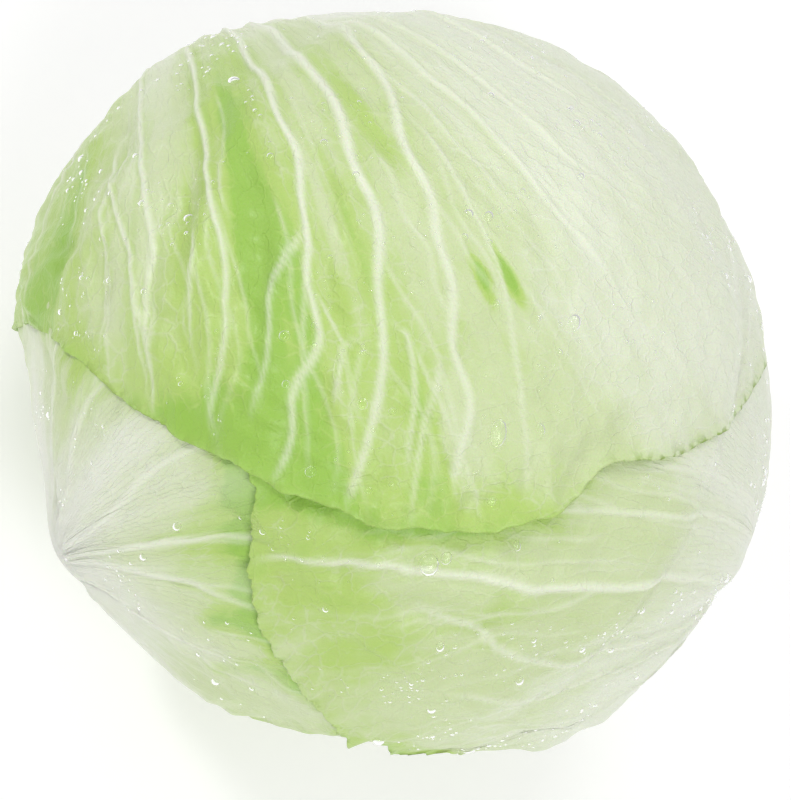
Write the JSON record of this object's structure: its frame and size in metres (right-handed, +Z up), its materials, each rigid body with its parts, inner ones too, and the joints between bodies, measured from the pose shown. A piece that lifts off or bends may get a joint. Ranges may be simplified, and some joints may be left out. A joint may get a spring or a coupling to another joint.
{
  "type": "cabbage head",
  "caption": "Head of white cabbage standing on its cut stem: overlapping wrapper leaves with thick ribs folded around a tight heart.",
  "frame": {"origin": "centre of the flat cut face of the stem, which the head rests on", "axes": "+Z up from the cut face through the crown; +X and +Y across the head, with the outermost leaf's rib on the +Y side, a little towards -X"},
  "size_m": [0.1713, 0.1734, 0.1445],
  "materials": {
    "outer_leaf": "waxy satin, green with pale veins, wet with drops",
    "wrapper_leaf": "waxy satin, pale green with white ribs",
    "heart_leaf": "smooth, yellowish white",
    "stem": "matt, fibrous, off-white"
  },
  "bodies": {
    "root": {"stem": "stem", "heart": "heart_leaf", "leaf_7": "wrapper_leaf", "leaf_6": "wrapper_leaf", "leaf_5": "wrapper_leaf", "leaf_4": "wrapper_leaf", "leaf_3": "outer_leaf", "leaf_2": "outer_leaf", "leaf_1": "outer_leaf"}
  },
  "joints": []
}
